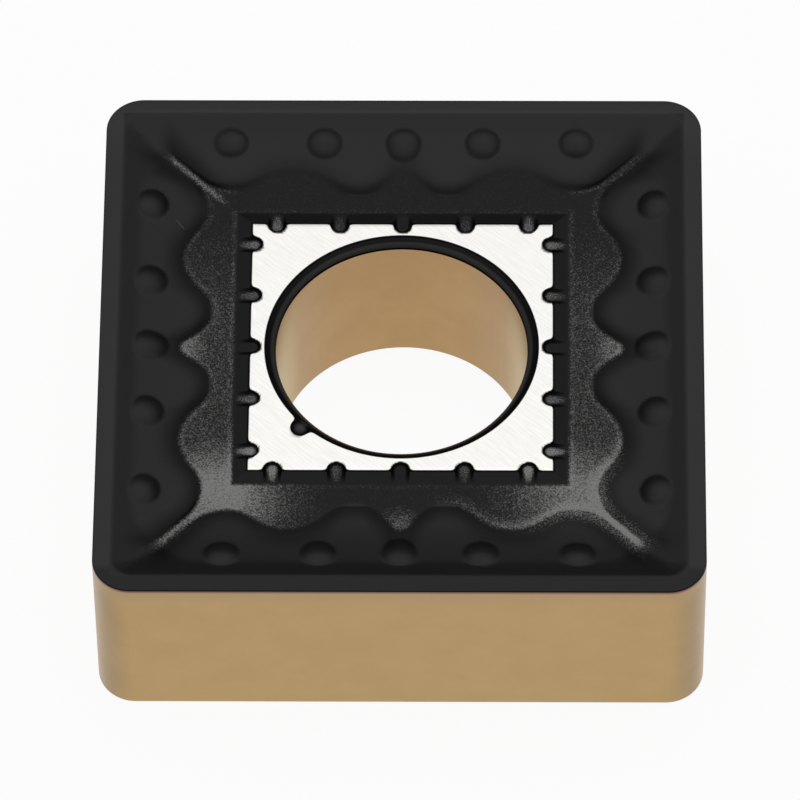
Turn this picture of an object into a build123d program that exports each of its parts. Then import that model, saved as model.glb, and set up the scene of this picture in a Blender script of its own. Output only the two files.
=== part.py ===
from build123d import *
import math
import os

# Square turning insert of cemented carbide, pressed and sintered in one piece.
# Its flat ground underside sits at z = 0 and the bore runs along Z. Every size
# is in millimetres. "Across" means the plan distance from the axis to a side.

# ---- driving dimensions -------------------------------------------------
side = 19.05            # across flats, which is also the inscribed circle
thickness = 6.35        # underside to the top of the land
nose_r = 1.2            # corner radius of the cutting edge
bore_d = 7.94           # locating bore

land_w = 0.56           # flat band behind the cutting edge
land_rise = 0.05        # how much the land climbs inwards
hone_r = 0.04           # rounding of the cutting edge
foot_break = 0.15       # rounding of the lower edge of the flanks

rake_w = 0.635          # steep slope inside the land
rake_deg = 20.0
fall_deg = 13.0         # gentler slope that carries the bumps
shelf_drop = 0.38       # shelf below the cutting edge
groove_drop = 0.56      # groove bottom below the cutting edge
wall_deg = 50.0         # groove wall, measured from the vertical

seat_drop = 0.266       # ground clamp face below the cutting edge
seat_margin = 0.42      # narrowest part of the clamp face, outside the bore's rim
seat_wall_w = 0.56      # run of the sloping wall round the clamp face

# The groove's inner wall waves between crests and hollows. "In" is measured
# inwards from the outer edge of the groove, "along" from the side's middle.
tip_in = 0.49
hollow_in = 1.5
hollow_along = 1.4
swell_in = 0.52
swell_along = 3.5
corner_in = 1.27
corner_back = 2.07      # last hollow, back from the groove's outer corner
tip_share = 0.22        # where one arc takes over from the next on the way
hollow_share = 0.43
swell_share = 0.56
rib_half = 0.15         # half width of the four diagonal ribs

bump_inner = 2.53       # bumps along each side, both ways from the middle one
bump_outer = 5.53
bump_in = 0.82          # bump's ball centre, inwards from the land
bump_r = 0.86
bump_top = 0.03         # bump crown below the cutting edge
beak_in = 0.29          # the middle bump runs further in, as a smaller ball
beak_r = 0.62
beak_top = 0.1

flute_count = 5         # flutes on each side of the clamp face
flute_margin = 0.72     # outermost flute's middle, back from its corner
flute_w = 0.5
flute_reach = 0.3       # how far a flute bites into the clamp face
flute_clear = 0.02      # flute bottom above the shelf

rim_radial = 0.33       # rounded lead into the bore, clamp side
rim_axial = 0.27
foot_chamfer = 0.42     # chamfer of the bore at the underside

dot_r = 0.3             # small mark that breaks the bore's rim
dot_out = 0.15          # its centre, outside the rim
dot_depth = 0.2

# ---- levels and widths that follow --------------------------------------
edge_z = thickness - land_rise
shelf_z = edge_z - shelf_drop
groove_z = edge_z - groove_drop
seat_z = edge_z - seat_drop
half = side / 2
land_in = half - land_w
rake_in = land_in - rake_w
rake_z = thickness - rake_w * math.tan(math.radians(rake_deg))
fall_w = (rake_z - shelf_z) / math.tan(math.radians(fall_deg))
fall_in = rake_in - fall_w
bottom_w = (shelf_z - groove_z) / math.tan(math.radians(fall_deg))
bore_r = bore_d / 2
seat_half = bore_r + rim_radial + seat_margin
seat_foot = seat_half + seat_wall_w
wall_run = (shelf_z - groove_z) * math.tan(math.radians(wall_deg))
over = 1.0              # how far cutting tools stand proud of the solid


def square_at(z, half_width):
    """A centred square at height z."""
    with BuildSketch(Plane.XY.offset(z)) as square:
        Rectangle(2 * half_width, 2 * half_width)
    return square.sketch


def turning_point(start, end, share):
    """Where two tangent arcs between a crest and a hollow change over."""
    return tuple(a + (b - a) * share for a, b in zip(start, end))


# ---- the dished middle, as a tool ---------------------------------------
with BuildPart() as dish:
    loft([square_at(thickness, land_in), square_at(rake_z, rake_in)], ruled=True)
    loft([square_at(rake_z, rake_in), square_at(shelf_z, fall_in)], ruled=True)
    with BuildSketch(Plane.XY.offset(shelf_z)):
        RectangleRounded(2 * land_in, 2 * land_in, nose_r - land_w)
    extrude(amount=thickness - shelf_z, mode=Mode.INTERSECT)

# ---- one chip groove, as a tool on the +Y side --------------------------
tip = (0, fall_in - tip_in)
hollow = (hollow_along, fall_in - hollow_in)
swell = (swell_along, fall_in - swell_in)
corner_hollow = (fall_in - corner_back, fall_in - corner_in)
rib_offset = rib_half * math.sqrt(2)
arm_end = (fall_in - rib_offset, fall_in)
arm_r = (corner_back - corner_in - rib_offset) / (math.sqrt(2) - 1)
arm_start = (
    corner_hollow[0] + arm_r * math.sin(math.radians(45)),
    corner_hollow[1] + arm_r * (1 - math.cos(math.radians(45))),
)


def groove_outline(z, inset):
    """The plan of one groove on the +Y side, drawn at height z."""
    tip_to_hollow = turning_point(tip, hollow, tip_share)
    hollow_to_swell = turning_point(hollow, swell, hollow_share)
    swell_to_corner = turning_point(swell, corner_hollow, swell_share)
    with BuildSketch(Plane.XY.offset(z)) as outline:
        with BuildLine():
            arc = TangentArc(tip, tip_to_hollow, tangent=(1, 0))
            arc = TangentArc(tip_to_hollow, hollow, tangent=arc % 1)
            arc = TangentArc(hollow, hollow_to_swell, tangent=arc % 1)
            arc = TangentArc(hollow_to_swell, swell, tangent=arc % 1)
            arc = TangentArc(swell, swell_to_corner, tangent=arc % 1)
            arc = TangentArc(swell_to_corner, corner_hollow, tangent=arc % 1)
            TangentArc(corner_hollow, arm_start, tangent=arc % 1)
            Polyline(arm_start, arm_end, (0, fall_in))
            mirror(about=Plane.YZ)
        make_face()
        if inset:
            offset(amount=-inset)
    return outline.sketch


with BuildPart() as groove:
    loft([groove_outline(shelf_z, 0), groove_outline(groove_z, wall_run)], ruled=True)
    extrude(groove_outline(shelf_z, 0), amount=thickness - shelf_z)
    with BuildSketch(Plane.YZ.offset(-half)):
        with BuildLine():
            Polyline(
                (0, groove_z - over),
                (0, shelf_z + over),
                (fall_in, shelf_z + over),
                (fall_in, shelf_z),
                (fall_in - bottom_w, groove_z),
                (fall_in - bottom_w, groove_z - over),
                close=True,
            )
        make_face()
    extrude(amount=side, mode=Mode.INTERSECT)


def is_cutting_edge(edge):
    """The sharp edge round the top of the flanks."""
    return math.isclose(edge.center().Z, edge_z, abs_tol=0.001)


def is_bore_rim(edge):
    """The two circles where the bore meets a flat face."""
    return edge.geom_type == GeomType.CIRCLE and math.isclose(edge.radius, bore_r, abs_tol=0.001)


def is_seat(face):
    """The ground clamp face."""
    return math.isclose(face.center().Z, seat_z, abs_tol=0.001)


# ---- the insert ---------------------------------------------------------
bump_across = land_in - bump_in
bump_z = edge_z - bump_top - bump_r
beak_z = edge_z - beak_top - beak_r
bump_spots = [
    (along, bump_across, bump_z)
    for along in (-bump_outer, -bump_inner, 0, bump_inner, bump_outer)
]
flute_pitch = 2 * (seat_half - flute_margin) / (flute_count - 1)
flute_z = shelf_z + flute_clear
flute_in = seat_half - flute_reach
flute_out = seat_foot + flute_w / 2
flute_length = flute_out - flute_in
flute_mid = (flute_in + flute_out) / 2
dot_x = -(bore_r + rim_radial + dot_out) * math.sqrt(0.5)

with BuildPart() as insert_body:
    with BuildSketch():
        RectangleRounded(side, side, nose_r)
    extrude(amount=thickness)
    top = insert_body.faces().sort_by(Axis.Z)[-1]
    chamfer(top.edges(), land_w, land_rise, reference=top)
    fillet(insert_body.edges().group_by(Axis.Z)[0], foot_break)
    fillet(insert_body.edges().filter_by(is_cutting_edge), hone_r)

    # the dished middle, the raised clamp face and the four grooves
    add(dish.part, mode=Mode.SUBTRACT)
    loft([square_at(shelf_z, seat_foot), square_at(seat_z, seat_half)], ruled=True)
    with PolarLocations(0, 4):
        add(groove.part, mode=Mode.SUBTRACT)

    # chip-breaker bumps
    with PolarLocations(0, 4):
        with Locations(*bump_spots):
            Sphere(bump_r, rotation=(90, 0, 0))
        with Locations((0, bump_across - beak_in, beak_z)):
            Sphere(beak_r, rotation=(90, 0, 0))

    # round-ended flutes over the clamp face's sloping wall
    with BuildSketch(Plane.XY.offset(flute_z)):
        with PolarLocations(0, 4):
            with GridLocations(flute_pitch, 0, flute_count, 1):
                with Locations((0, flute_mid)):
                    SlotOverall(flute_length, flute_w, rotation=90)
    extrude(amount=over, mode=Mode.SUBTRACT)

    # bore with its leads, and the small mark on its rim
    with Locations((0, 0, thickness / 2)):
        Cylinder(bore_r, thickness + over, mode=Mode.SUBTRACT)
    seat = insert_body.faces().filter_by(is_seat).sort_by(SortBy.AREA)[-1]
    rims = insert_body.edges().filter_by(is_bore_rim).sort_by(Axis.Z)
    chamfer(rims[-1], rim_radial, rim_axial, reference=seat)
    chamfer(rims[0], foot_chamfer)
    with Locations((dot_x, dot_x, seat_z)):
        Cylinder(dot_r, 2 * dot_depth, mode=Mode.SUBTRACT)

insert_body.part.label = "insert_body"

os.makedirs("parts", exist_ok=True)
export_step(insert_body.part, "parts/insert_body.step")
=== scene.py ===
import math

import bpy
from mathutils import Matrix, Vector


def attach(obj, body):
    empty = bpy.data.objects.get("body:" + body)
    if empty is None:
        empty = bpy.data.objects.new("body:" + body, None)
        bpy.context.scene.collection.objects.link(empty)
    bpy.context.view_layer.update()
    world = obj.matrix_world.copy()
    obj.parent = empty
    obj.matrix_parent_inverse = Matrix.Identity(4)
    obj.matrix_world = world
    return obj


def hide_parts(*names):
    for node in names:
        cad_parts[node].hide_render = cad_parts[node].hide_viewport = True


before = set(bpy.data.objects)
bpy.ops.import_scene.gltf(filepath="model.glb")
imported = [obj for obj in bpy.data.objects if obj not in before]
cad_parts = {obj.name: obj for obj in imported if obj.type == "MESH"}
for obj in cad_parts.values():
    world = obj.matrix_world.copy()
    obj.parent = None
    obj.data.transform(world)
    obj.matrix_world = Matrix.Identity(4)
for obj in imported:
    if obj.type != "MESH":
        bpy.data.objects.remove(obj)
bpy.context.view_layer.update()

# A square turning insert of coated carbide: black chip-breaker face, gold
# flanks and bore, and a clamp face ground back to bare carbide. Sizes are in
# millimetres. Plan places are measured from the axis, and drops are measured
# down from the cutting edge. "Across" is the distance from the axis towards
# the nearest side, and "along" runs along that side from its middle.

# ---- sizes of the insert -------------------------------------------------
MM = 0.001
SIDE = 19.05
THICKNESS = 6.35
NOSE_R = 1.2
BORE_R = 3.97
LAND_W = 0.56
LAND_RISE = 0.05
HONE_R = 0.04
FOOT_R = 0.15           # rounding of the lower edge of the flanks
FOOT_LEAD = 0.42        # chamfer of the bore at the underside

RAKE_W = 0.635          # steep slope inside the land
RAKE_SLOPE = math.tan(math.radians(20))
FALL_SLOPE = math.tan(math.radians(11.5))
SHELF_DROP = 0.38
GROOVE_DROP = 0.5
WALL_SLOPE = 0.25       # the groove's inner wall, as fall per millimetre
CORNER_FROM = 6.4       # along a side, where the dish starts to deepen
CORNER_RUN = 1.3
CORNER_DEEPEN = 0.14

SEAT_DROP = 0.266       # the ground clamp face
SEAT_HALF = 4.72
SEAT_FOOT = 5.28
RIM_RADIAL = 0.33       # rounded lead into the bore
RIM_AXIAL = 0.27
RIM_BULGE = 0.4         # 1 would be a full quarter-round, 0 a chamfer

# the groove's wavy inner wall: how far along the side, how far across, and
# where on the way to the next one a crest's arc gives over to a hollow's
TIP = (0, 6.976)
HOLLOW = (1.4, 5.966)
SWELL = (3.5, 6.946)
CORNER_HOLLOW = (5.396, 6.196)
TIP_SHARE = 0.22
HOLLOW_SHARE = 0.43
SWELL_SHARE = 0.56

# the four diagonal ribs between the grooves
RIB_HALF = 0.13
RIB_SLOPE = 0.7
RIB_FROM = 5.4
RIB_RUN = 1
RIB_END = 7.3
RIB_END_SLOPE = 0.5

# chip-breaker bumps: place along the side and reach towards the middle
BUMPS = ((0, 0.68), (2.53, 0.57), (5.53, 0.52))
BUMP_ACROSS = 7.98
BUMP_OUT = 0.52
BUMP_SIDE = 0.57
BUMP_RISE = 0.145

FLUTE_PITCH = 2.0
FLUTE_LAST = 2          # number of the outermost flute, counted from the middle one
FLUTE_R = 0.25
FLUTE_REACH = 0.25
FLUTE_CLEAR = 0.02
FLUTE_SLOPE = 2.5
DOT_R = 0.3             # small mark on the bore's rim
DOT_AT = 4.45
DOT_DEPTH = 0.13

# how softly two surfaces of the face run into each other
RAKE_SOFT = 0.04
GROOVE_SOFT = 0.3
SHELF_SOFT = 0.05
WALL_SOFT = 0.15
LAND_SOFT = 0.05
BUMP_SOFT = 0.03
FLUTE_SOFT = 0.01
CORNER_SOFT = 0.4
CORNER_FADE = 0.6

HALF = SIDE / 2
EDGE = THICKNESS - LAND_RISE
LAND_IN = HALF - LAND_W
RAKE_IN = LAND_IN - RAKE_W
NOSE_AT = HALF - NOSE_R
RIM_R = BORE_R + RIM_RADIAL

# the skin's mesh
AROUND = 800            # points round the insert
LINE_W = 0.02           # thin band that keeps an edge crisp
SHARP = 0.001           # corner radius of a ring with sharp corners
LAND_LAP = 0.04         # the land's rings end this far outside its crest
FLUTE_LAP = 0.1         # the slope's rings end this far inside the flutes
WELD = 2e-7             # metres

# the tree's inputs
SIZES = {
    "side": SIDE,
    "thickness": THICKNESS,
    "nose radius": NOSE_R,
    "bore radius": BORE_R,
    "points round": AROUND,
}


# ---- numbers in a node tree ----------------------------------------------
def plug(tree, socket, value):
    """Gives a socket a link or a plain value."""
    if isinstance(value, Field):
        tree.links.new(value.socket, socket)
    elif value is not None:
        socket.default_value = value


class Field:
    """One socket of a node tree, with Python's arithmetic."""

    def __init__(self, tree, socket=None):
        self.tree = tree
        self.socket = socket

    def node(self, kind, settings=None, inputs=None, output=0):
        made = self.tree.nodes.new(kind)
        for name, setting in (settings or {}).items():
            setattr(made, name, setting)
        for name, value in (inputs or {}).items():
            plug(self.tree, made.inputs[name], value)
        return Field(self.tree, made.outputs[output])

    def beside(self, output):
        """Another output of the same node."""
        return Field(self.tree, self.socket.node.outputs[output])

    def calc(self, operation, *values):
        return self.node("ShaderNodeMath", {"operation": operation}, dict(enumerate(values)))

    def __add__(self, other):
        return self.calc("ADD", self, other)

    def __radd__(self, other):
        return self.calc("ADD", other, self)

    def __sub__(self, other):
        return self.calc("SUBTRACT", self, other)

    def __rsub__(self, other):
        return self.calc("SUBTRACT", other, self)

    def __mul__(self, other):
        return self.calc("MULTIPLY", self, other)

    def __truediv__(self, other):
        return self.calc("DIVIDE", self, other)

    def __rtruediv__(self, other):
        return self.calc("DIVIDE", other, self)

    def __neg__(self):
        return self.calc("MULTIPLY", self, -1)

    def __abs__(self):
        return self.calc("ABSOLUTE", self)

    def sin(self):
        return self.calc("SINE", self)

    def cos(self):
        return self.calc("COSINE", self)

    def sqrt(self):
        return self.calc("SQRT", self)

    def least(self, other, soft=0):
        if soft:
            return self.calc("SMOOTH_MIN", self, other, soft)
        return self.calc("MINIMUM", self, other)

    def most(self, other, soft=0):
        if soft:
            return self.calc("SMOOTH_MAX", self, other, soft)
        return self.calc("MAXIMUM", self, other)

    def ramp(self, start, end):
        """0 up to start and 1 from end on, eased between; end may be the lower one."""
        return self.node("ShaderNodeMapRange", {"interpolation_type": "SMOOTHSTEP"},
                         {0: self, 1: start, 2: end, 3: 0.0, 4: 1.0})

    def blend(self, other, share):
        return self + (other - self) * share


def longer(a, b):
    """The long side of a right triangle."""
    return (a * a + b * b).sqrt()


def rule_group(name, inputs, outputs, rule):
    """A rule on numbers, kept as a node group that many bands can use."""
    tree = bpy.data.node_groups.new(name, "GeometryNodeTree")
    for direction, labels in (("INPUT", inputs), ("OUTPUT", outputs)):
        for label in labels:
            tree.interface.new_socket(label, in_out=direction, socket_type="NodeSocketFloat")
    given = tree.nodes.new("NodeGroupInput")
    found = rule(*[Field(tree, given.outputs[label]) for label in inputs])
    result = tree.nodes.new("NodeGroupOutput")
    for label, value in zip(outputs, found):
        tree.links.new(value.socket, result.inputs[label])

    def use(start, *values):
        made = start.node("GeometryNodeGroup", {"node_tree": tree}, dict(zip(inputs, values)))
        return [made.beside(label) for label in outputs]
    return use


# ---- the shape of the chip-breaker face ----------------------------------
def wave_run(along, start, end, share):
    """The wall between a crest and a hollow: its place and its steepness."""
    width = end[0] - start[0]
    rise = end[1] - start[1]
    t = ((along - start[0]) / width).most(0).least(1)
    early = t.least(share)
    late = (t - share).most(0)
    place = early * early / share + late * (2 - late / (1 - share))
    steep = (t * (2 / share)).least((1 - t) * (2 / (1 - share)))
    return place * rise, steep * (rise / width)


def beyond_wall(across, along):
    """How far a point lies outside the groove's inner wall."""
    place, steep = wave_run(along, TIP, HOLLOW, TIP_SHARE)
    for start, end, share in ((HOLLOW, SWELL, HOLLOW_SHARE), (SWELL, CORNER_HOLLOW, SWELL_SHARE)):
        run_place, run_steep = wave_run(along, start, end, share)
        place = place + run_place
        steep = steep + run_steep
    # past the last hollow an eighth of a circle turns into the rib's straight edge
    rib_offset = RIB_HALF * math.sqrt(2)
    arm_r = (CORNER_HOLLOW[1] - CORNER_HOLLOW[0] - rib_offset) / (math.sqrt(2) - 1)
    past = (along - CORNER_HOLLOW[0]).most(0)
    bend = past.least(arm_r * math.sqrt(0.5))
    drop = (arm_r * arm_r - bend * bend).sqrt()
    place = place + TIP[1] + (arm_r - drop) + (past - bend)
    steep = steep + bend / drop
    return (across - place) / (steep * steep + 1).sqrt()


def bump(across, aside, inward):
    """1 on top of a bump, 0 at its foot, less than 0 outside it."""
    out = (across - BUMP_ACROSS) / BUMP_OUT
    back = (BUMP_ACROSS - across) / inward
    side = aside / BUMP_SIDE
    reach = out.most(back)
    return 1 - reach * reach - side * side


def flute_edge(across, along):
    """Distance outside the nearest round-ended flute."""
    number = along.calc("ROUND", along / FLUTE_PITCH).least(FLUTE_LAST)
    aside = along - number * FLUTE_PITCH
    inner = SEAT_HALF - FLUTE_REACH + FLUTE_R
    past = (inner - across).most(across - SEAT_FOOT).most(0)
    return longer(aside, past) - FLUTE_R


def dot_edge(x, y):
    """Distance outside the small mark on the bore's rim."""
    spot = DOT_AT * math.sqrt(0.5)
    return longer(x + spot, y + spot) - DOT_R


def sunk_dot(level, x, y):
    """A level, lowered where the small mark dips below it."""
    away = (dot_edge(x, y) + DOT_R) / DOT_R
    return level.least(away * away * DOT_DEPTH - (SEAT_DROP + DOT_DEPTH))


def face_level(x, y, half, nose):
    """Height of the chip-breaker face above the cutting edge."""
    from_axis = abs(x).most(abs(y))
    aside = abs(x).least(abs(y))
    # the groove keeps its distance from the cutting edge on any size
    across = from_axis + (HALF - half)
    along = aside * (HALF / half)
    nose_at = HALF - nose
    out = across.least(nose_at) + longer((across - nose_at).most(0), (aside - half + nose).most(0))
    land = (HALF - out) * (LAND_RISE / LAND_W)

    # the two slopes of the dish, which run softly round its corners
    soft = across.most(along, CORNER_SOFT) - across
    steep = out - LAND_IN + soft * (LAND_IN - out).ramp(0, CORNER_FADE)
    steep = steep * RAKE_SLOPE + LAND_RISE
    gentle = (out - RAKE_IN + soft) * FALL_SLOPE + (LAND_RISE - RAKE_W * RAKE_SLOPE)
    deepen = (along - CORNER_FROM).ramp(0, CORNER_RUN) * CORNER_DEEPEN
    floor = steep.most(gentle - deepen, RAKE_SOFT).most(-GROOVE_DROP, GROOVE_SOFT)

    # the shelf and the ribs, left standing by the grooves
    wall_slope = (along - RIB_FROM).ramp(0, RIB_RUN) * (RIB_SLOPE - WALL_SLOPE) + WALL_SLOPE
    shelf = -SHELF_DROP - wall_slope * beyond_wall(across, along)
    shelf = shelf.least(-SHELF_DROP, SHELF_SOFT) - (along - RIB_END).most(0) * RIB_END_SLOPE
    level = floor.most(shelf, WALL_SOFT).least(land, LAND_SOFT)
    for place, inward in BUMPS:
        crown = gentle + bump(across, along - place, inward) * BUMP_RISE
        level = level.most(crown, BUMP_SOFT)

    # the clamp face on its sloping wall, with the flutes and the mark
    seat_slope = (SHELF_DROP - SEAT_DROP) / (SEAT_FOOT - SEAT_HALF)
    seat = ((SEAT_FOOT - from_axis) * seat_slope - SHELF_DROP).least(-SEAT_DROP)
    flute = flute_edge(from_axis, aside).most(0) * FLUTE_SLOPE + (FLUTE_CLEAR - SHELF_DROP)
    return sunk_dot(level.most(seat).least(flute, FLUTE_SOFT), x, y)


# ---- bands of faces that run once round the insert -----------------------
def band(start, rings, place, points_round, nose_at):
    """A strip of faces; place(side share, share, angle, nose) gives a point in millimetres."""
    grid = start.node("GeometryNodeMeshGrid", None, {
        "Size X": 1.0, "Size Y": 1.0, "Vertices X": rings + 1, "Vertices Y": points_round + 1})
    # the grid reaches from -0.5 to 0.5 both ways: share runs 0 to 1, turn 0 to 4
    spot = start.node("ShaderNodeSeparateXYZ", None, {0: start.node("GeometryNodeInputPosition")})
    share = spot.beside("X") + 0.5
    turn = spot.beside("Y") * 4 + 2
    quarter = turn.calc("FLOOR", turn)
    x, y, z = place((turn - quarter) * 2 - 1, share, quarter * (math.pi / 2), nose_at)
    at = start.node("ShaderNodeCombineXYZ", None, {0: x * MM, 1: y * MM, 2: z * MM})
    return start.node("GeometryNodeSetPosition", None, {"Geometry": grid, "Position": at})


def ring_rule(side_share, angle, across, corner, roundness):
    """A point of a ring that goes from a rounded square to a circle."""
    run = across - corner
    step = abs(side_share) * across
    lean = ((step - run) / corner).most(0).least(1) * (math.pi / 4)
    px = step.least(run) + corner * lean.sin()
    py = run + corner * lean.cos()
    swing = abs(side_share) * (math.pi / 4)
    px = px.blend(across * swing.sin(), roundness) * side_share.calc("SIGN", side_share)
    py = py.blend(across * swing.cos(), roundness)
    return px * angle.cos() + py * angle.sin(), py * angle.cos() - px * angle.sin()


ring_point = rule_group(
    "point on a ring", ("side share", "angle", "across", "corner", "roundness"), ("x", "y"), ring_rule)
face_height = rule_group(
    "chip-breaker face", ("x", "y", "half side", "nose radius"), ("level",), lambda *at: [face_level(*at)])


def flat_ring(start, end, levels=(0, 0), corners=None, roundness=(0, 0), rule=None, eased=False):
    """A band between two rings, straight unless a rule gives its level."""
    def place(side_share, share, angle, nose_at):
        if eased:
            share = share * (2 - share)
        across = share * (end - start) + start
        if corners:
            corner = share * (corners[1] - corners[0]) + corners[0]
        else:
            corner = (across - nose_at).most(SHARP)
        circle = share * (roundness[1] - roundness[0]) + roundness[0]
        x, y = ring_point(share, side_share, angle, across, corner, circle)
        return x, y, rule(x, y) if rule else share * (levels[1] - levels[0]) + levels[0]
    return place


def round_ring(start, run, level, rise, upright=False, circle=0, rule=None, bulge=1):
    """A quarter-round, which starts level unless upright; less bulge flattens it to a chamfer."""
    def place(side_share, share, angle, nose_at):
        swing = share * (math.pi / 2)
        early = share.blend(swing.sin(), bulge)
        late = share.blend(1 - swing.cos(), bulge)
        across = (late if upright else early) * run + start
        x, y = ring_point(share, side_share, angle, across, (across - nose_at).most(SHARP), circle)
        z = (early if upright else late) * rise + level
        return x, y, rule(z, x, y) if rule else z
    return place


def insert_skin(coat, gold, bare):
    """The whole insert as one closed skin, made band by band."""
    tree = bpy.data.node_groups.new("insert skin", "GeometryNodeTree")
    tree.is_modifier = True
    tree.interface.new_socket("Geometry", in_out="OUTPUT", socket_type="NodeSocketGeometry")
    for name, size in SIZES.items():
        kind = "NodeSocketInt" if isinstance(size, int) else "NodeSocketFloat"
        tree.interface.new_socket(name, in_out="INPUT", socket_type=kind)
    given = tree.nodes.new("NodeGroupInput")
    side, thickness, nose, bore, points_round = [Field(tree, given.outputs[name]) for name in SIZES]
    start = Field(tree)
    half = side / 2
    edge = thickness - LAND_RISE
    foot = half - FOOT_R
    foot_corner = nose - FOOT_R - LINE_W
    lead = bore + FOOT_LEAD
    rim = bore + RIM_RADIAL
    seat_z = edge - SEAT_DROP
    rim_z = seat_z - RIM_AXIAL
    hone_z = edge - HONE_R
    hone_rise = HONE_R * (1 + LAND_RISE / LAND_W)
    slope_ring = half - LAND_W + LAND_LAP
    seat_ring = SEAT_HALF - FLUTE_REACH - FLUTE_LAP
    sharp = (SHARP, SHARP)
    circle = (1, 1)

    def face(x, y):
        return face_height(x, x, y, half, nose)[0] + edge

    def marked(z, x, y):
        return sunk_dot(z - edge, x, y) + edge

    # from the bore's foot out along the underside, up the flank, in over the
    # face and down the bore: finish, rings, place
    bands = [
        (bare, 1, flat_ring(lead, lead + LINE_W, (0, 0), sharp, circle)),
        (bare, 4, flat_ring(lead + LINE_W, foot - LINE_W, (0, 0), (SHARP, foot_corner), (1, 0))),
        (bare, 1, flat_ring(foot - LINE_W, foot)),
        (gold, 5, round_ring(foot, FOOT_R, 0, FOOT_R)),
        (gold, 1, flat_ring(half, half, (FOOT_R, FOOT_R + LINE_W))),
        (gold, 1, flat_ring(half, half, (FOOT_R + LINE_W, hone_z - LINE_W))),
        (gold, 1, flat_ring(half, half, (hone_z - LINE_W, hone_z))),
        (coat, 4, round_ring(half, -HONE_R, hone_z, hone_rise, upright=True)),
        (coat, 4, flat_ring(half - HONE_R, slope_ring, rule=face)),
        (coat, 76, flat_ring(slope_ring, seat_ring, rule=face)),
        (coat, 12, flat_ring(seat_ring, rim, corners=sharp, roundness=(0, 1), rule=face, eased=True)),
        (coat, 6, round_ring(rim, -RIM_RADIAL, seat_z, -RIM_AXIAL, circle=1, rule=marked,
                             bulge=RIM_BULGE)),
        (gold, 1, flat_ring(bore, bore, (rim_z, rim_z - LINE_W), sharp, circle)),
        (gold, 1, flat_ring(bore, bore, (rim_z - LINE_W, FOOT_LEAD + LINE_W), sharp, circle)),
        (gold, 1, flat_ring(bore, bore, (FOOT_LEAD + LINE_W, FOOT_LEAD), sharp, circle)),
        (gold, 1, flat_ring(bore, lead, (FOOT_LEAD, 0), sharp, circle)),
    ]
    joined = tree.nodes.new("GeometryNodeJoinGeometry")
    for finish, rings, place in bands:
        strip = start.node("GeometryNodeSetMaterial", None, {
            "Geometry": band(start, rings, place, points_round, half - nose), "Material": finish})
        tree.links.new(strip.socket, joined.inputs[0])
    skin = start.node("GeometryNodeMergeByDistance", None, {
        "Geometry": Field(tree, joined.outputs[0]), "Distance": WELD})
    skin = start.node("GeometryNodeSetShadeSmooth", None, {"Geometry": skin})
    skin = start.node("GeometryNodeRealizeInstances", None, {"Geometry": skin})
    out = tree.nodes.new("NodeGroupOutput")
    tree.links.new(skin.socket, out.inputs[0])
    return tree


def finished(name, tree):
    """The tree's result as a plain mesh piece at the origin."""
    holder = bpy.data.objects.new(name + "_source", bpy.data.meshes.new(name + "_source"))
    bpy.context.scene.collection.objects.link(holder)
    modifier = holder.modifiers.new("skin", "NODES")
    modifier.node_group = tree
    for item in tree.interface.items_tree:
        if item.in_out == "INPUT":
            modifier[item.identifier] = SIZES[item.name]
    result = holder.evaluated_get(bpy.context.evaluated_depsgraph_get())
    mesh = bpy.data.meshes.new_from_object(result)
    bpy.data.objects.remove(holder)
    piece = bpy.data.objects.new(name, mesh)
    bpy.context.scene.collection.objects.link(piece)
    return piece


# ---- helpers for finishes ------------------------------------------------
GRIND_STRETCH = (0.06, 1.0, 0.2)    # grinding lines are long on the turned x axis


def finish_of(name, paint):
    """A material: paint gives what varies."""
    material = bpy.data.materials.new(name)
    material.use_nodes = True
    tree = material.node_tree
    shader = tree.nodes["Principled BSDF"]
    start = Field(tree)
    spot = start.node("ShaderNodeTexCoord", output="Object")
    spot = start.node("ShaderNodeVectorMath", {"operation": "SCALE"}, {0: spot, "Scale": 1 / MM})
    for socket, value in paint(start, spot).items():
        plug(tree, shader.inputs[socket], value)
    return material


def axes(start, spot):
    """The x, y and z of a spot."""
    parts = start.node("ShaderNodeSeparateXYZ", None, {0: spot})
    return [parts.beside(axis) for axis in "XYZ"]


def stretched(start, spot, factors):
    """A spot scaled by a factor on each axis, so that what is drawn there gets longer or shorter."""
    return start.node("ShaderNodeVectorMath", {"operation": "MULTIPLY"}, {0: spot, 1: factors})


def noise(start, spot, size, detail=2.0, roughness=0.5):
    """Noise with grains about that many millimetres across."""
    return start.node("ShaderNodeTexNoise", None, {
        "Vector": spot, "Scale": 1 / size, "Detail": detail, "Roughness": roughness})


def mix(start, share, first, second):
    """Two colours mixed by a share; the node's colour sockets are 6, 7 and output 2."""
    made = start.tree.nodes.new("ShaderNodeMix")
    made.data_type = "RGBA"
    for index, value in ((0, share), (6, first), (7, second)):
        plug(start.tree, made.inputs[index], (*value, 1) if isinstance(value, tuple) else value)
    return Field(start.tree, made.outputs[2])


def grinding_lines(start, spot, angle, width):
    """Fine lines one way across a ground face, from 0 to 1."""
    turned = start.node("ShaderNodeVectorRotate", {"rotation_type": "Z_AXIS"}, {
        "Vector": spot, "Angle": angle})
    return noise(start, stretched(start, turned, GRIND_STRETCH), width, 3.0).ramp(0.25, 0.75)


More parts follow.
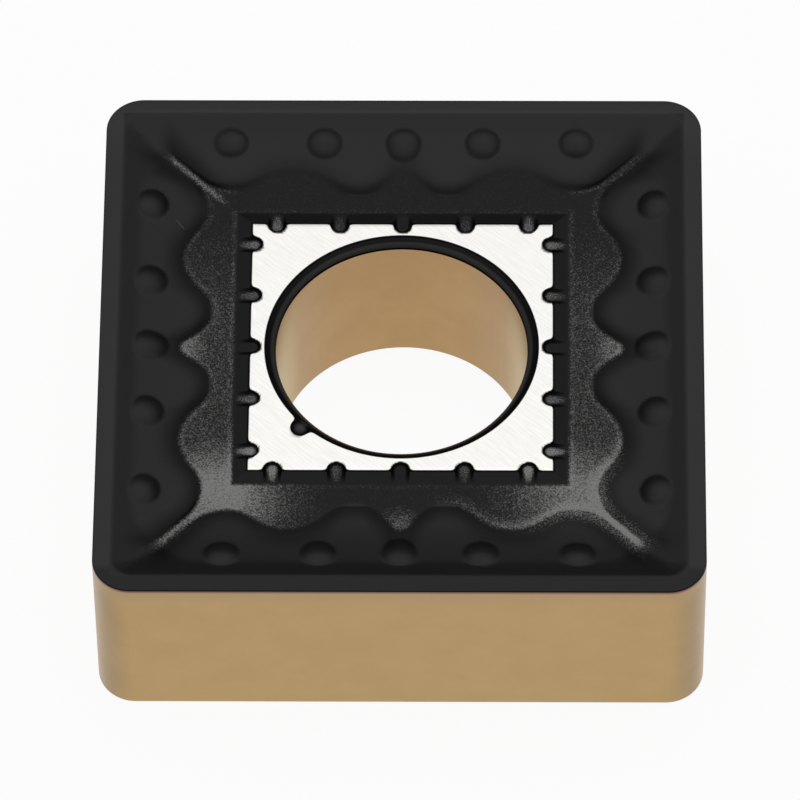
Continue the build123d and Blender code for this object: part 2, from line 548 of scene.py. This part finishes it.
# ---- the black face and its ground clamp face ----------------------------
COAT_BLACK = (0.004, 0.004, 0.0041)
LAND_BLACK = (0.010, 0.010, 0.010)
BACK_LAND_PAINTED_LIGHT = (0.018, 0.018, 0.018)
RIM_PAINTED_HIGHLIGHT_GREY = (0.07, 0.07, 0.07)
DOT_PAINTED_HIGHLIGHT_SHARE = 0.45
GLINT_GREY = (0.25, 0.248, 0.244)
GROUND_TONES = ((0.74, 0.728, 0.703), (0.86, 0.848, 0.827))
COAT_SPECULAR = 0.265
COAT_ROUGHNESS = 0.42
LAND_ROUGHNESS_LESS = 0.08
GROUND_ROUGHNESS_LESS = 0.1
GRIND_ANGLE = 0.72
GRIND_W = 0.05
FINE_W = 0.03

SEAT_LAP = 0.043        # how far the ground face reaches past its nominal edge
CUT_TRIM = 0.035        # what a flute or the bore's lead takes off it
DOT_TRIM = 0.025
FLUTE_FILLET = 0.24
DOT_FILLET = 0.3

PAINTED_MARKS_END = 7.9         # along a side, where the painted shade and glints have faded out

# how much of the sheen stays on the shelf and its wall, and how much painted shade takes away near the
# groove's wall, round the bumps and on the front land
SHELF_SHEEN = 0.58
SEAT_WALL_SHEEN = 0.5
PAINTED_WALL_SHADE = 0.72
PAINTED_WALL_SHADE_FROM = 6.0    # across
BACK_WALL_SHADE_EASE = 0.6
PAINTED_BUMP_SHADE = 0.1
BACK_PAINTED_BUMP_SHADE = 0.3
FRONT_LAND_PAINTED_SHADE = 0.45

# shares of the coating given painted glints, a pale speckle where light glints, and how they change per
# millimetre of x
ALL_OVER_GLINT = 0.04
CORNER_GLINT = 0.96
CORNER_GLINT_LEAN = -0.019
LIP_GLINT = 0.35
SIDE_GLINT = 0.22
SIDE_TIP_GLINT = 0.3
FRONT_TIP_GLINT = 0.4
FOOT_GLINT = 0.05
SIDE_FOOT_GLINT = 0.28
SIDE_LIP_GLINT = 0.15
RIB_GLINT = 0.86
RIB_GLINT_LEAN = 0.04
LEFT_RIB_GLINT = 0.55
SPILL_GLINT = 0.45
FLUTE_GLINT = 0.7
FLUTE_GLINT_LEAN = -0.03  # this one per millimetre of y
PLAIN_FLUTE_EASE = 0.35

# places of those painted glints, across or along a side
GLINT_CORNER = 5.6
GLINT_SIDE_TIP = 6.7
GLINT_FRONT_TIP = 6.8
GLINT_SIDE = 5.2
GLINT_FLUTE = (FLUTE_LAST * FLUTE_PITCH, 4.9)

# the grains and clouds of those painted glints
GRAIN_W = 0.045
GRAIN_CONTRAST = 2.6
GRAIN_OFFSET = 0.8
CLOUD_W = 0.8
GLINT_PUSH = 1.35
CLOUD_PUSH = 0.6

SCRATCH_AT = (-7.1, 4.85)
SCRATCH_PALE = 0.12


class Place:
    """Where a point of the black face lies, in millimetres."""

    def __init__(self, start, spot):
        self.x, self.y, _ = axes(start, spot)
        self.across = abs(self.x).most(abs(self.y))
        self.along = abs(self.x).least(abs(self.y))
        # distances outside the groove's wall, the seat wall's foot, a flute, the rim and the mark
        self.beyond = beyond_wall(self.across, self.along)
        self.past_foot = self.across - SEAT_FOOT
        self.from_flute = flute_edge(self.across, self.along)
        self.from_bore = longer(self.x, self.y) - RIM_R
        self.from_dot = dot_edge(self.x, self.y)
        # shares: 1 on the land, inside the wall's foot, short of the bore, short of the corners
        self.land = (self.across - LAND_IN).ramp(-0.03, 0.05)
        self.in_wall = (-self.past_foot).ramp(0, 0.2)
        self.before_bore = self.from_bore.ramp(-0.32, -0.28)
        self.painted_marks = self.along.ramp(PAINTED_MARKS_END, RIB_END)


def ground_share(at):
    """1 on the ground clamp face, 0 on the coating, with small fillets where two cuts meet."""
    outer = (SEAT_HALF + SEAT_LAP - at.across).least(at.from_flute - CUT_TRIM, FLUTE_FILLET)
    inner = (at.from_bore - CUT_TRIM).least(at.from_dot - DOT_TRIM, DOT_FILLET)
    return outer.least(inner).ramp(-0.014, 0.014)


def dark_lines(at):
    """1 on the thin dark lines round the ground face, its flutes, the mark and the bore."""
    lines = at.across.ramp(SEAT_HALF + 0.13, SEAT_HALF + 0.08)
    lines = lines.most(at.from_flute.ramp(0.05, 0.01) * at.in_wall)
    lines = lines * at.from_flute.ramp(-0.1, -0.05) * at.across.ramp(SEAT_FOOT + 0.1, SEAT_HALF + 0.1)
    lines = lines.most(at.from_dot.ramp(0.1, 0.05)) * at.from_dot.ramp(-0.09, -0.03)
    lead = at.from_bore.ramp(-0.02, -0.08) * at.before_bore
    return lines.most(at.from_bore.ramp(0.05, 0.0)) * (1 - lead)


def sheen_with_painted_shade(at):
    """Share of the coating's sheen that stays: painted shade takes it near walls, round bumps and on the
    front land, and the dark lines take it too.
    """
    back = at.y.ramp(4, 7) * at.along.ramp(6.3, 5.5)
    # painted shade: the groove darkens towards its inner wall, less at the back
    painted_wall_shade = at.beyond.ramp(0.85, 0.0) * (at.across - PAINTED_WALL_SHADE_FROM).ramp(0, 0.1) * at.painted_marks
    painted_wall_shade = painted_wall_shade * (1 - back * BACK_WALL_SHADE_EASE)
    # painted shade: a dark ring round the foot of each bump
    painted_bump_shade = 0
    for place, inward in BUMPS:
        top = bump(at.across, at.along - place, inward)
        painted_bump_shade = (top.ramp(-0.2, 0.1) * top.ramp(0.6, 0.15)).most(painted_bump_shade)
    groove = (1 - painted_wall_shade * PAINTED_WALL_SHADE) * (1 - painted_bump_shade * (back * BACK_PAINTED_BUMP_SHADE + PAINTED_BUMP_SHADE))
    shelf = at.past_foot.ramp(-0.1, 0.02) * (SHELF_SHEEN - SEAT_WALL_SHEEN) + SEAT_WALL_SHEEN
    in_groove = 1 - at.beyond.ramp(0.05, -0.08) * at.painted_marks
    sheen = shelf.blend(groove, in_groove)
    # painted shade: the land at the front edge loses its sheen
    front_edge = at.y.ramp(-HALF + 1, -HALF + 0.7)
    sheen = sheen - at.land * front_edge * FRONT_LAND_PAINTED_SHADE
    return sheen * (1 - dark_lines(at))


def glints_on_shelf(at):
    """Share of the shelf given painted glints, a pale speckle: most at the front corners and on the ribs.
    """
    front = (-at.y).ramp(0, 5)
    beside = (abs(at.x) - GLINT_SIDE).ramp(0, 0.3)
    corners = longer(abs(at.x) - GLINT_CORNER, at.y + GLINT_CORNER).ramp(3.5, -0.8)
    corners = corners * (at.x * CORNER_GLINT_LEAN + CORNER_GLINT)
    lip = at.beyond.ramp(-0.5, -0.05) * at.x.ramp(0.5, 3) * front * LIP_GLINT
    sides = beside * at.y.ramp(5.5, 1.0) * SIDE_GLINT
    side_tips = longer(abs(at.x) - GLINT_SIDE_TIP, at.y).ramp(0.8, 0.1) * SIDE_TIP_GLINT
    front_tip = longer(at.x, at.y + GLINT_FRONT_TIP).ramp(0.9, 0.0) * FRONT_TIP_GLINT
    foot = at.past_foot.ramp(0.22, 0.02) * (beside * SIDE_FOOT_GLINT + FOOT_GLINT)
    side_lip = at.beyond.ramp(-0.25, -0.05) * beside * SIDE_LIP_GLINT
    glint = (corners + lip).most(sides) + side_tips + front_tip + foot + side_lip

    ribs = (at.across - at.along).ramp(front * 0.35 + 0.3, 0.0)
    ribs = ribs * (at.along - RIB_FROM).ramp(0, 0.6) * at.along.ramp(7.8, 7.2)
    front_ribs = front * (at.x * RIB_GLINT_LEAN + RIB_GLINT)
    ribs = ribs * front_ribs.most((-at.x).ramp(2, 5) * LEFT_RIB_GLINT)
    glint = (glint.most(ribs) + ALL_OVER_GLINT) * at.painted_marks

    # the painted glints keep to the shelf at the groove, but for a spill at the right front corner
    shelf = at.beyond.ramp(0.12, -0.12) * at.past_foot.ramp(-0.1, 0.06)
    glint_spill = at.beyond.ramp(0.5, 0.0) * at.past_foot.ramp(-0.2, 0.1) * SPILL_GLINT
    glint_spill = glint_spill * at.x.ramp(2.5, 5.5) * (-at.y).ramp(3, 6)
    return glint * shelf.most(glint_spill)


def glints_in_flutes(at):
    """Share of the flutes' middles given painted glints, a pale speckle: most in those nearest to the
    corners.
    """
    middle = (at.from_flute + (at.across - SEAT_HALF) * 0.15).ramp(-0.04, -0.16) * at.in_wall
    last, edge = GLINT_FLUTE
    from_last = longer(abs(at.x) - last, abs(at.y) - edge)
    from_last = from_last.least(longer(abs(at.x) - edge, abs(at.y) - last))
    plain_row = (abs(at.y) - abs(at.x)).ramp(0, 1) * from_last.ramp(0.8, 1.6)
    middle = middle * (1 - plain_row * PLAIN_FLUTE_EASE) * from_last.ramp(4.6, 0.3)
    return middle * (at.y * FLUTE_GLINT_LEAN + FLUTE_GLINT) * at.across.ramp(SEAT_FOOT + 0.3, SEAT_HALF)


def scratch_of(at):
    """One short fine scratch on the left slope."""
    right = at.x - SCRATCH_AT[0]
    up = at.y - SCRATCH_AT[1]
    beside = abs(right * 0.8 + up * 0.6)
    onward = abs(right * 0.6 - up * 0.8)
    return beside.ramp(0.04, 0.01) * onward.ramp(0.3, 0.12) * SCRATCH_PALE


def glint_and_scratch_speckle(start, spot, at):
    """How pale each grain of the coating is: painted glints, and one real scratch."""
    glint = glints_on_shelf(at).most(glints_in_flutes(at))
    grain = noise(start, spot, GRAIN_W, roughness=0.6) * GRAIN_CONTRAST - GRAIN_OFFSET
    cloud = noise(start, spot, CLOUD_W) - 0.5
    pale = (grain + glint * GLINT_PUSH + cloud * glint * CLOUD_PUSH - 1).ramp(-0.45, 0.95)
    pale = pale * (0.4 + glint * 0.7).least(1) * glint.ramp(0, 0.12) * (grain * 0.6 + 0.7)
    return pale.most(scratch_of(at))


def coated_face(start, spot):
    """Matte black coating with painted glints and painted shade, round the ground clamp face."""
    at = Place(start, spot)
    ground = ground_share(at)
    pale = glint_and_scratch_speckle(start, spot, at)
    # painted highlight: a grey band on the bore's rounded rim and inside the mark
    rim_highlight = at.from_bore.ramp(-0.12, -0.22) * at.before_bore
    rim_highlight = rim_highlight.most(at.from_dot.ramp(-0.04, -0.2) * DOT_PAINTED_HIGHLIGHT_SHARE)
    # painted light: the land's black is lighter towards the back
    land_tone_with_painted_light = mix(start, at.y.ramp(7, 9), LAND_BLACK, BACK_LAND_PAINTED_LIGHT)
    tone = mix(start, at.land, COAT_BLACK, land_tone_with_painted_light)
    tone = mix(start, rim_highlight, tone, RIM_PAINTED_HIGHLIGHT_GREY)
    # painted glints: pale grey speckle where light glints on the shelf, ribs and flutes, with one real
    # scratch
    tone = mix(start, pale, tone, GLINT_GREY)
    lines = grinding_lines(start, spot, GRIND_ANGLE, GRIND_W)
    fine = noise(start, spot, FINE_W)
    rough = ground * (lines * 0.05 - GROUND_ROUGHNESS_LESS) + COAT_ROUGHNESS + fine * 0.04
    rough = rough - at.land * (1 - ground) * LAND_ROUGHNESS_LESS
    dull = (1 - sheen_with_painted_shade(at)) * (1 - pale)
    # metal reflects in its own colour only, so where the black is metallic it has no sheen; that is how
    # the painted shade darkens it, while the painted glints keep their sheen
    return {
        "Base Color": mix(start, ground, tone, mix(start, lines, *GROUND_TONES)),
        "Metallic": dull.blend(1, ground),
        "Roughness": rough,
    }


# ---- gold coating and ground underside -----------------------------------
GOLD_TONES = ((0.464, 0.307, 0.136), (0.488, 0.325, 0.147))
NOSE_PAINTED_SHADE_TONES = ((0.36, 0.245, 0.125), (0.40, 0.275, 0.14))
BORE_TONES = ((0.425, 0.262, 0.116), (0.455, 0.286, 0.128))
BORE_PAINTED_HIGHLIGHT = (0.50, 0.36, 0.15)
ROSY_TONE = (0.42, 0.285, 0.165)
EDGE_TONE = (0.12, 0.055, 0.05)
UNDERSIDE_TONES = ((0.66, 0.65, 0.635), (0.73, 0.725, 0.71))
UNDERSIDE_LINE_W = 0.07
MOTTLE_W = 1.6
MOTTLE_STRETCH = (1.0, 1.0, 1.2)
GOLD_FINE_W = 0.15
BORE_HIGHLIGHT_FROM = 3.2    # across the bore, where the painted highlight on its sides begins
ROSY_FROM = 5.4         # levels above the underside
EDGE_FROM = 6.12
ROSY_SHARE = 0.7
EDGE_SHARE = 0.8
GOLD_ROUGHNESS = 0.3
UNDERSIDE_ROUGHNESS = 0.3


def gold_coat(start, spot):
    """Smooth gold coating, faintly mottled, rosy just below the edge, with painted shade on the rounded
    corners and a painted highlight on the bore's sides.
    """
    x, y, z = axes(start, spot)
    mottle = noise(start, stretched(start, spot, MOTTLE_STRETCH), MOTTLE_W, 4.0, 0.6)
    fine = noise(start, spot, GOLD_FINE_W, 3.0, 0.6)
    flank = mix(start, mottle.ramp(0.3, 0.7), *GOLD_TONES)
    # painted shade: the gold is darker on the rounded corners
    corner = (abs(x).least(abs(y)) - NOSE_AT).ramp(-0.1, 0.9)
    flank = mix(start, corner, flank, mix(start, mottle.ramp(0.35, 0.75), *NOSE_PAINTED_SHADE_TONES))
    bore = mix(start, mottle.ramp(0.3, 0.7), *BORE_TONES)
    # painted highlight: paler gold on the bore's left and right sides
    bore = mix(start, (abs(x) - BORE_HIGHLIGHT_FROM).ramp(0, 0.6), bore, BORE_PAINTED_HIGHLIGHT)
    in_bore = (longer(x, y) - BORE_R).ramp(0.6, 0.5)
    tone = mix(start, in_bore, flank, bore)
    tone = mix(start, (z - ROSY_FROM).ramp(0, 0.8) * ROSY_SHARE, tone, ROSY_TONE)
    tone = mix(start, (z - EDGE_FROM).ramp(0, 0.13) * EDGE_SHARE, tone, EDGE_TONE)
    return {"Base Color": tone, "Metallic": 1.0, "Roughness": fine * 0.06 + GOLD_ROUGHNESS}


def bare_carbide(start, spot):
    """Ground carbide of the underside, with fine lines one way."""
    lines = grinding_lines(start, spot, -GRIND_ANGLE, UNDERSIDE_LINE_W)
    tone = mix(start, lines, *UNDERSIDE_TONES)
    return {"Base Color": tone, "Metallic": 1.0, "Roughness": lines * 0.1 + UNDERSIDE_ROUGHNESS}


coat = finish_of("black and ground face", coated_face)
coat.node_tree.nodes["Principled BSDF"].inputs["Specular IOR Level"].default_value = COAT_SPECULAR
gold = finish_of("gold coating", gold_coat)
bare = finish_of("ground underside", bare_carbide)

insert = finished("carbide_insert", insert_skin(coat, gold, bare))
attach(insert, "root")
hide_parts("insert_body")


# ---- floor, tent, light and camera, in metres ----------------------------
FLOOR_HALF = 3.0
FLOOR_GREY = 0.9
FLOOR_WHITE = 0.94      # share of plain white that the camera sees on the floor
TENT_HALF = 0.6
TENT_HEIGHT = 0.5
TENT_LIFT = 0.001
TENT_GREY = 0.1
SET_ROUGHNESS = 0.9
WORLD_STRENGTH = 0.45
LAMP_AT = (0, 0.16, 0.45)
LAMP_TARGET = (0, 0.16, 0)
LAMP_SIZE = (0.8, 0.8)
LAMP_RADIANCE = 1.35


def shown_white(tree, shader, share):
    """Mixes white in for the rays that show a surface or its reflection."""
    start = Field(tree)
    seen = start.node("ShaderNodeLightPath", output="Is Camera Ray")
    seen = seen.most(seen.beside("Is Glossy Ray")).most(seen.beside("Is Transmission Ray"))
    white = start.node("ShaderNodeEmission", None, {"Color": (1, 1, 1, 1), "Strength": 1.0})
    return start.node("ShaderNodeMixShader", None, {0: seen * share, 1: shader, 2: white})


def sheet(name, points, faces, cloth, grey):
    """A plain matte surface of the set, and the shader of its material."""
    material = bpy.data.materials.new(cloth)
    material.use_nodes = True
    shader = material.node_tree.nodes["Principled BSDF"]
    shader.inputs["Base Color"].default_value = (grey, grey, grey, 1)
    shader.inputs["Roughness"].default_value = SET_ROUGHNESS
    mesh = bpy.data.meshes.new(name)
    mesh.from_pydata(points, [], faces)
    mesh.materials.append(material)
    made = bpy.data.objects.new(name, mesh)
    bpy.context.scene.collection.objects.link(made)
    return made, shader


def square_corners(half, z):
    """The corners of a level square round the axis."""
    return [(x * half, y * half, z) for x, y in ((-1, -1), (1, -1), (1, 1), (-1, 1))]


def make_floor():
    """A pale floor that keeps the insert's shadow."""
    floor, shader = sheet("floor", square_corners(FLOOR_HALF, 0), [(0, 1, 2, 3)], "pale floor", FLOOR_GREY)
    tree = shader.id_data
    shown = shown_white(tree, Field(tree, shader.outputs[0]), FLOOR_WHITE)
    tree.links.new(shown.socket, tree.nodes["Material Output"].inputs[0])
    return floor


def make_tent():
    """Dark grey cloth walls and roof round the set, out of the camera's sight."""
    points = square_corners(TENT_HALF, TENT_LIFT) + square_corners(TENT_HALF, TENT_HEIGHT)
    walls = [(i, (i + 1) % 4, 4 + (i + 1) % 4, 4 + i) for i in range(4)]
    tent, shader = sheet("tent", points, walls + [(4, 5, 6, 7)], "grey tent cloth", TENT_GREY)
    shader.inputs["Specular IOR Level"].default_value = 0.0
    tent.visible_camera = False
    return tent


def make_world():
    """Soft light from all round, which shows as white."""
    world = bpy.data.worlds.new("studio")
    bpy.context.scene.world = world
    world.use_nodes = True
    tree = world.node_tree
    soft = tree.nodes["Background"]
    soft.inputs["Color"].default_value = (1, 1, 1, 1)
    soft.inputs["Strength"].default_value = WORLD_STRENGTH
    shown = shown_white(tree, Field(tree, soft.outputs[0]), 1.0)
    tree.links.new(shown.socket, tree.nodes["World Output"].inputs[0])


def area_lamp(name, place, target, size, radiance):
    """A rectangular lamp that shines from place to target."""
    data = bpy.data.lights.new(name, "AREA")
    data.shape = "RECTANGLE"
    data.size, data.size_y = size
    data.energy = radiance * math.pi * size[0] * size[1]
    lamp = bpy.data.objects.new(name, data)
    lamp.location = place
    lamp.rotation_euler = (Vector(target) - Vector(place)).to_track_quat("-Z", "Y").to_euler()
    lamp.visible_camera = False
    bpy.context.scene.collection.objects.link(lamp)


def make_camera():
    """A long lens from the front, looking down on the insert."""
    yaw, pitch, roll = -0.0199, 0.9543, 0.0139
    aside, aloft, distance = 0.0733, 1.8582, 282.99     # millimetres, in the camera's own axes
    focal_pixels = 8983.42
    picture_pixels = 800
    sensor = 36
    right = Vector((1, 0, 0))
    up = Vector((0, math.sin(pitch), math.cos(pitch)))
    ahead = Vector((0, math.cos(pitch), -math.sin(pitch)))
    turn = Matrix.Rotation(-yaw, 3, "Z")
    centre = turn @ (-aside * right - aloft * up - distance * ahead) + Vector((0, 0, EDGE))
    rightward = turn @ (math.cos(roll) * right - math.sin(roll) * up)
    upward = turn @ (math.sin(roll) * right + math.cos(roll) * up)
    backward = turn @ -ahead
    data = bpy.data.cameras.new("camera")
    data.sensor_fit = "HORIZONTAL"
    data.sensor_width = sensor
    data.lens = focal_pixels / picture_pixels * sensor
    data.clip_start = 0.01
    camera = bpy.data.objects.new("camera", data)
    facing = Matrix((rightward, upward, backward)).transposed()
    camera.matrix_world = Matrix.Translation(centre * MM) @ facing.to_4x4()
    bpy.context.scene.collection.objects.link(camera)
    bpy.context.scene.camera = camera


make_floor()
make_tent()
make_world()
area_lamp("overhead", LAMP_AT, LAMP_TARGET, LAMP_SIZE, LAMP_RADIANCE)
make_camera()
bpy.context.scene.view_settings.view_transform = "Standard"
